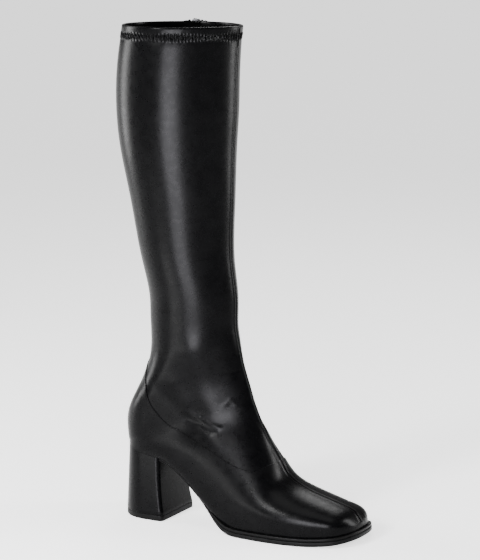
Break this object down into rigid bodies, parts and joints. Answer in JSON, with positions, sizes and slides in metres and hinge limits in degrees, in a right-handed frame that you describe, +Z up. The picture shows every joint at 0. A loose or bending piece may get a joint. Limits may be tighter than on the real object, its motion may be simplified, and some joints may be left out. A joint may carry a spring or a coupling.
{
  "type": "go go boot",
  "caption": "Knee-high right boot with a smooth stretch shaft, a stitched hem, an ankle seam, a squared toe, a covered block heel and an inner-side zip.",
  "frame": {"origin": "on the ground, under the middle of the heel's base", "axes": "+X towards the toe, +Y towards the boot's inner side, where the zip is, +Z up"},
  "size_m": [0.2564, 0.1096, 0.4777],
  "materials": {
    "faux_leather": "smooth semi-gloss black faux leather",
    "insole_fabric": "matt black lining cloth",
    "welt_rubber": "satin black",
    "sole_rubber": "dull black",
    "zip_tape": "black woven tape with coil teeth",
    "zip_metal": "black enamel"
  },
  "bodies": {
    "boot": {"upper": "faux_leather", "insole": "insole_fabric", "welt": "welt_rubber", "outsole": "sole_rubber", "heel": "faux_leather", "heel_top_piece": "sole_rubber", "zip_chain": "zip_tape", "zip_slider": "zip_metal"},
    "pull": {"zip_pull": "zip_metal"}
  },
  "joints": [
    {"name": "pull_swing", "type": "hinge", "parent": "boot", "child": "pull", "pos_m": [0.01673, 0.05565, 0.47224], "axis": [0.95, 0.2768, -0.1445], "range_deg": [0, 170]}
  ]
}
